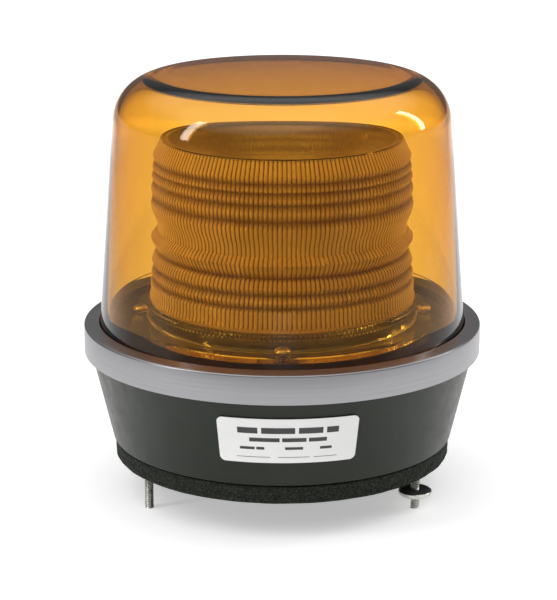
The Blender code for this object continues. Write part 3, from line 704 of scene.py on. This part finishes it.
def printed_rule(s0, s1, height, thick):
    """A printed bar on the label, from s0 to s1."""
    bm = bmesh.new()
    steps = max(2, int((s1 - s0) / 3))
    rows = []
    for k in range(steps + 1):
        s = s0 + (s1 - s0) * k / steps
        rows.append([bm.verts.new(on_label(s, z, LABEL_PRINT)) for z in (height, height + thick)])
    for a, b in zip(rows, rows[1:]):
        bm.faces.new([a[0], b[0], b[1], a[1]])
    return bm


def label_print():
    """Generic print: bars where a maker's words would be, and three lines to write on."""
    low, _ = span("name_label")
    marks = []
    bars = ((0, 16.6, 3.3, (10, 16.5, 12, 6)), (0, 12.0, 2.2, (15, 12, 9)), (-18, 7.6, 1.5, (7.5, 4)),
            (3, 7.6, 1.5, (9,)), (19, 7.6, 1.5, (6,)))
    for middle, height, thick, widths in bars:
        gap = thick * 0.55
        s = middle - (sum(widths) + gap * (len(widths) - 1)) / 2
        for width in widths:
            marks.append(printed_rule(s, s + width, low.z + height, thick))
            s += width + gap
    for s0, s1 in ((-26, -9), (-5, 11), (13, 25)):
        marks.append(printed_rule(s0, s1, low.z + 3.2, 0.3))
    piece("label_ink", joined(marks), "base", INK)


# Fasteners of the clamp
def clamp_fasteners():
    """The clamp's slotted screw, washer and hexagon nut, which lie along X."""
    low, high = span("clamp_screw")
    y, z = (low.y + high.y) / 2, (low.z + high.z) / 2
    head_x = high.x - 3.2
    stem, shift = thread(STUD_R, 0.6, THREAD_PITCH, low.x, head_x - 1.0)
    head = [(4.5, head_x), (4.6, head_x + 0.3), (4.6, head_x + 1.4), *arc(2.9, head_x + 1.5, 1.7, 5, 88, 6)]
    outline = [(0, low.x), (THREAD_CORE_R, low.x), *stem, (STUD_R, head_x), *head, (0, high.x)]
    whole = lay_along_x(turned(outline, 32, shift=shift), y, z)
    screw = piece("clamp_bolt", whole, "clamp_screw", ZINC, ["clamp_screw"])
    cut(screw, box_mesh((high.x - 1.3, y - 6, z - 0.55), (high.x + 1, y + 6, z + 0.55)))
    sharpen(screw)
    low, high = span("clamp_screw_washer")
    ring = [(SCREW_HOLE_R, low.x), (5.45, low.x), (5.6, low.x + 0.15), (5.6, high.x - 0.15), (5.45, high.x),
            (SCREW_HOLE_R, high.x)]
    piece("clamp_washer_disc", lay_along_x(turned(ring, 48), y, z), "clamp_washer", ZINC,
          ["clamp_screw_washer"])
    low, high = span("clamp_nut")
    hexagon = turned([(SCREW_HOLE_R, low.x), (5.0, low.x), (5.4, low.x + 0.5), (5.4, high.x - 0.5),
                      (5.0, high.x), (SCREW_HOLE_R, high.x)], 6)
    nut = piece("clamp_hex_nut", lay_along_x(hexagon, y, z), "ring", ZINC, ["clamp_nut"])
    bar = turned([(0, -30), (SCREW_HOLE_R, -30), (SCREW_HOLE_R, 0), (0, 0)], 32)
    cut(nut, lay_along_x(bar, y, z))
    sharpen(nut)


def mounting_plate():
    """The black plate under the lens, open in the middle for the tube's socket."""
    hole_r, edge = 23.1, 0.5
    outline = [(hole_r, plate_low.z), (plate_high.x, plate_low.z), (plate_high.x, plate_high.z - edge),
               *arc(plate_high.x - edge, plate_high.z - edge, edge, 0, 90, 4), (hole_r, plate_high.z)]
    piece("chassis_plate", turned(outline, 192), "base", GLOSS_BLACK, ["mounting_plate"])


def lens_screws():
    """The four screws through the lens's flange."""
    for k in range(1, 5):
        pan_screw(f"lens_pan_screw_{k}", "base", f"lens_screw_{k}", 4.2, 3.0, 1.7)


CARRIED = {
    ZINC: ("board_screw_*", "socket_screw_*"),
    BRASS: ("board_standoff_*", "flash_tube_pin_*"),
    PHENOLIC: ("flash_tube_base",),
    MOULDED_BLACK: ("terminal_block", "plate_screw_*", "power_transistor"),
    RUBBER: ("dome_gasket", "cable_grommet"),
    BOARD: ("circuit_board",),
    FERRITE: ("transformer_core",),
    COPPER: ("transformer_winding",),
    CERAMIC: ("tube_socket", "power_resistor"),
    GLASS: ("flash_tube_envelope", "xenon_coil"),
    BLUE_SLEEVE: ("storage_capacitor_*",),
    FINNED: ("heat_sink",),
    RED_LEAD: ("socket_lead_1", "trigger_coil"),
    BLACK_LEAD: ("socket_lead_2",),
    WHITE_LEAD: ("socket_lead_3",),
}


def carried_nodes():
    """Better materials for the CAD pieces that stay."""
    for mat, patterns in CARRIED.items():
        for pattern in patterns:
            for name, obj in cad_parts.items():
                if name == pattern or (pattern.endswith("*") and name.startswith(pattern[:-1])):
                    for slot in obj.material_slots:
                        slot.material = mat


# Stage
EDGE_Y = 0.092  # metres: where the white table's tone gives way to the pale ground behind it
TABLE_TONE = 0.93
GLOW = 0.45  # the floor's own light, for its tone
FLOOR_HALF = 6000


def floor_material():
    """White by the object and a little greyer behind the table's edge, with painted shade: darker towards the
    sides, far in front and to the left behind the edge. A painted bright band lies far behind.
    """
    n = Nodes("pale_floor")
    place = n.add("ShaderNodeSeparateXYZ")
    n.link(n.coords, place.inputs["Vector"])
    x, y = place.outputs["X"], place.outputs["Y"]

    def times(a, b):
        node = n.add("ShaderNodeMath", operation="MULTIPLY")
        n.link(a, node.inputs[0])
        n.link(b, node.inputs[1])
        return node.outputs["Value"]

    far = n.add("ShaderNodeMath", operation="ABSOLUTE")
    n.link(x, far.inputs[0])
    # Painted shade: the tone falls to 0.42 from 0.34 m to 0.85 m out to the sides.
    painted_side_shade = n.ramp(far.outputs["Value"], 1.0, 0.42, 0.34, 0.85)
    # Painted shade: darker far out in front, from 0.2 m to 0.95 m.
    painted_front_falloff = n.ramp(y, 0.38, 1.0, -0.95, -0.2)
    # Painted light: the emission is 1.9 times brighter in a band about a metre behind, and dimmer beyond it.
    painted_glow_band = times(n.ramp(y, 1.0, 1.9, 0.95, 1.05), n.ramp(y, 1.0, 0.74, 1.14, 1.2))
    mix = n.add("ShaderNodeMix", data_type="FLOAT")
    n.link(n.ramp(y, 0.0, 1.0, EDGE_Y - 0.001, EDGE_Y + 0.001), mix.inputs["Factor"])
    mix.inputs["A"].default_value = TABLE_TONE
    # Painted shade: behind the edge the ground is greyer to the left than to the right.
    n.link(n.ramp(x, 0.83, 0.90, -0.15, 0.15), mix.inputs["B"])
    tone = times(mix.outputs["Result"], times(painted_side_shade, painted_front_falloff))
    n.link(tone, n.shader.inputs["Base Color"])
    n.link(times(tone, painted_glow_band), n.shader.inputs["Emission Color"])
    n.set(Roughness=0.6, Specular_IOR_Level=0.2, Emission_Strength=GLOW)
    return n.mat


def floor():
    """A plain pale floor."""
    bm = bmesh.new()
    signs = ((-1, -1), (1, -1), (1, 1), (-1, 1))
    bm.faces.new([bm.verts.new((a * FLOOR_HALF, b * FLOOR_HALF, TABLE_Z)) for a, b in signs])
    piece("pale_floor", bm, None, floor_material())


def lamp(name, size, power, place, target):
    """A rectangular white lamp that faces a target. Lengths in metres."""
    light = bpy.data.lights.new(name, "AREA")
    light.shape = "RECTANGLE"
    light.size, light.size_y = size
    light.energy = power
    obj = bpy.data.objects.new(name, light)
    bpy.context.scene.collection.objects.link(obj)
    obj.location = place
    obj.rotation_euler = (Vector(target) - Vector(place)).to_track_quat("-Z", "Y").to_euler()


SIDE_LIGHT = 0.15  # the world's strength at the sides and overhead
TOP_LIGHT = 1.0


def lights():
    """A soft sun overhead, a strip lamp on each side, and a world that is brighter overhead."""
    middle = (0, 0, 0.1)
    sky = bpy.data.lights.new("overhead_sun", "SUN")
    sky.energy = 0.35
    sky.angle = math.radians(80)
    sun = bpy.data.objects.new("overhead_sun", sky)
    sun.rotation_euler = (math.radians(18), math.radians(-14), 0)
    bpy.context.scene.collection.objects.link(sun)
    lamp("strip_left", (0.16, 1.1), 5, (-1.25, -0.55, 0.75), middle)
    lamp("strip_right_back", (0.10, 0.8), 2.5, (1.1, 0.30, 0.6), middle)
    world = bpy.data.worlds.new("studio")
    world.use_nodes = True
    nodes, links = world.node_tree.nodes, world.node_tree.links
    way = nodes.new("ShaderNodeTexCoord")
    split = nodes.new("ShaderNodeSeparateXYZ")
    links.new(way.outputs["Generated"], split.inputs["Vector"])
    strength = nodes.new("ShaderNodeMapRange")
    strength.inputs["From Min"].default_value = 0.45
    strength.inputs["From Max"].default_value = 0.70
    strength.inputs["To Min"].default_value = SIDE_LIGHT
    strength.inputs["To Max"].default_value = TOP_LIGHT
    links.new(split.outputs["Z"], strength.inputs["Value"])
    links.new(strength.outputs["Result"], nodes["Background"].inputs["Strength"])
    nodes["Background"].inputs["Color"].default_value = (1, 1, 1, 1)
    bpy.context.scene.world = world


FOCAL_LENGTH = 130.14
CAMERA_DOWN = 15.23  # degrees below the horizontal


def camera():
    """The camera, in front and a little above."""
    data = bpy.data.cameras.new("camera")
    data.lens = FOCAL_LENGTH
    data.clip_end = 50
    obj = bpy.data.objects.new("camera", data)
    obj.location = Vector((-1.9, -1111.9, RING_EDGE + 312.6)) * MM
    obj.rotation_euler = (math.radians(90 - CAMERA_DOWN), 0, 0)
    bpy.context.scene.collection.objects.link(obj)
    bpy.context.scene.camera = obj


outer_dome()
inner_lens()
clamp_ring()
clamp_fasteners()
base_housing()
mounting_pad()
mounting_studs()
seal_washer()
name_label()
label_print()
mounting_plate()
lens_screws()
carried_nodes()
floor()
lights()
camera()
bpy.context.scene.view_settings.view_transform = "Standard"
